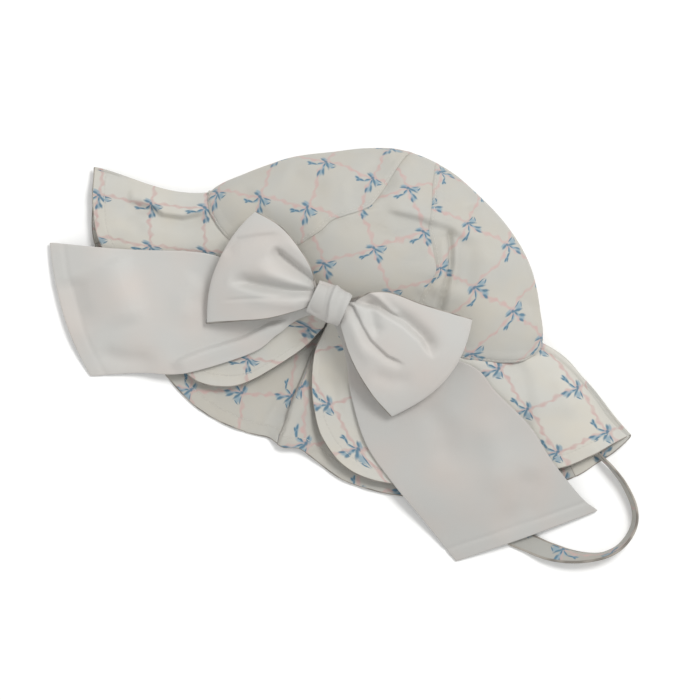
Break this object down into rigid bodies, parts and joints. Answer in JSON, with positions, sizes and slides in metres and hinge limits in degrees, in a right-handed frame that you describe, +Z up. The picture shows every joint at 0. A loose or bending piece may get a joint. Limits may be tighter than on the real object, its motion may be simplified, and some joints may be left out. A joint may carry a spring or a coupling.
{
  "type": "sun hat",
  "caption": "Toddler's soft cotton sun hat lying on its face, with a wide floppy brim split at the back, a big ribbon bow and a narrow chin strap.",
  "frame": {"origin": "on the surface it lies on, midway between the two side folds where the brim meets the crown", "axes": "+Z up out of the back of the hat, +Y towards the top of the crown, +X towards the side with the strap's loop"},
  "size_m": [0.4074, 0.2206, 0.0602],
  "materials": {
    "printed_cotton": "matt woven cotton with a small ribbon and bow print",
    "bow_cotton": "plain pale grey cotton with a soft sheen",
    "strap_cotton": "matt woven cotton, the same print"
  },
  "bodies": {
    "root": {"crown_gore_back": "printed_cotton", "crown_gore_left": "printed_cotton", "crown_gore_right": "printed_cotton", "crown_gore_front_left": "printed_cotton", "crown_gore_front_right": "printed_cotton", "brim_front": "printed_cotton", "brim_back_left": "printed_cotton", "brim_back_right": "printed_cotton", "bow_loop_left": "bow_cotton", "bow_loop_right": "bow_cotton", "bow_knot": "bow_cotton", "bow_tail_left": "bow_cotton", "bow_tail_right": "bow_cotton", "chin_strap": "strap_cotton"}
  },
  "joints": []
}
